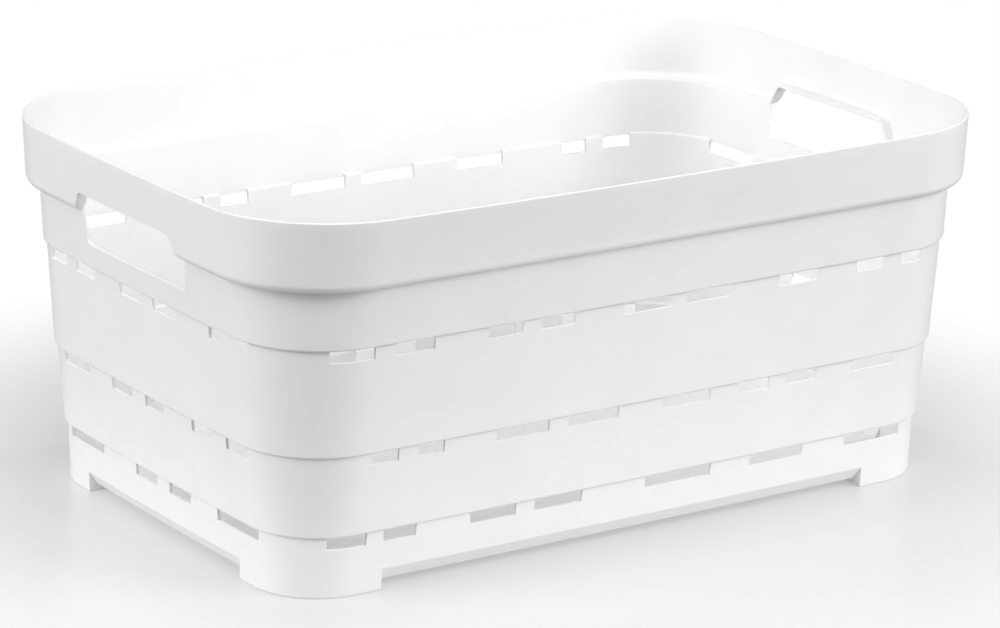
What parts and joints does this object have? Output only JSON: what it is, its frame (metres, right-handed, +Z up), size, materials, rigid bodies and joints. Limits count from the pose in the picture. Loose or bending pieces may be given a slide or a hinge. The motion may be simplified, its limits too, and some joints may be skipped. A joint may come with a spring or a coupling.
{
  "type": "laundry basket",
  "caption": "Open-topped rectangular laundry basket with stepped, slotted walls and a hand opening in each end.",
  "frame": {"origin": "centre of the footprint at floor level, on the plane of the four feet", "axes": "+X along the length, so the hand openings are in the -X and +X ends; +Y across the width; +Z up out of the open top"},
  "size_m": [0.6026, 0.4064, 0.261],
  "materials": {
    "white_plastic": "satin"
  },
  "bodies": {
    "root": {"rim_collar": "white_plastic", "upper_band": "white_plastic", "middle_band": "white_plastic", "lower_band": "white_plastic", "base_band": "white_plastic", "floor_panel": "white_plastic", "foot_front_left": "white_plastic", "foot_front_right": "white_plastic", "foot_rear_left": "white_plastic", "foot_rear_right": "white_plastic", "grip_surround_left": "white_plastic", "grip_surround_right": "white_plastic"}
  },
  "joints": []
}
